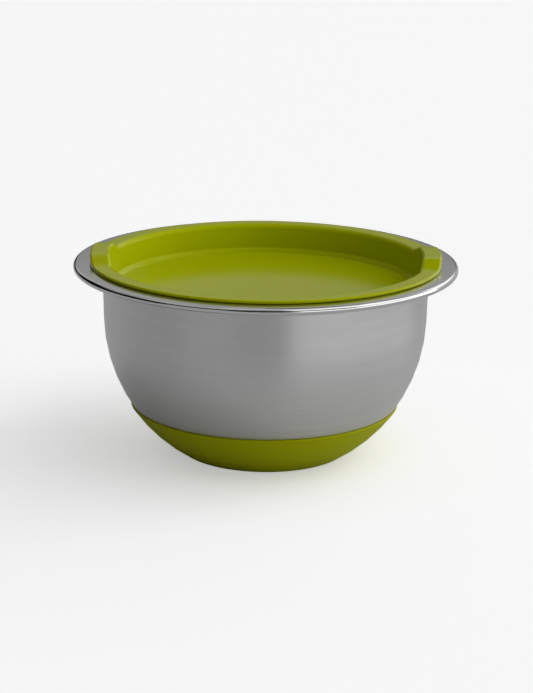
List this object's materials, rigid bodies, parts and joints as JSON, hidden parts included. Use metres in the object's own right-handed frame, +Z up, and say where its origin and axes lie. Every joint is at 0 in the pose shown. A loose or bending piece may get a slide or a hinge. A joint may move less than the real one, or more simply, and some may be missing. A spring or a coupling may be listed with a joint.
{
  "type": "mixing bowl",
  "caption": "Steel mixing bowl with a wide rolled flange, a soft non-slip base and a recessed tray lid with side grip tabs.",
  "frame": {"origin": "centre of the underside of the base, on the table", "axes": "+Z up along the bowl's axis; the lid's grip tabs are on the X axis; +Y is the side away from the viewer"},
  "size_m": [0.232, 0.232, 0.124],
  "materials": {
    "steel": "fine circular brushing, satin",
    "base_silicone": "matt olive-lime silicone",
    "lid_plastic": "satin olive-lime polypropylene"
  },
  "bodies": {
    "bowl": {"bowl_shell": "steel", "nonslip_base": "base_silicone"},
    "lid": {"lid": "lid_plastic"}
  },
  "joints": [
    {"name": "lid_lift", "type": "slide", "parent": "bowl", "child": "lid", "axis": [0, 0, 1], "range_m": [0, 0.06]}
  ]
}
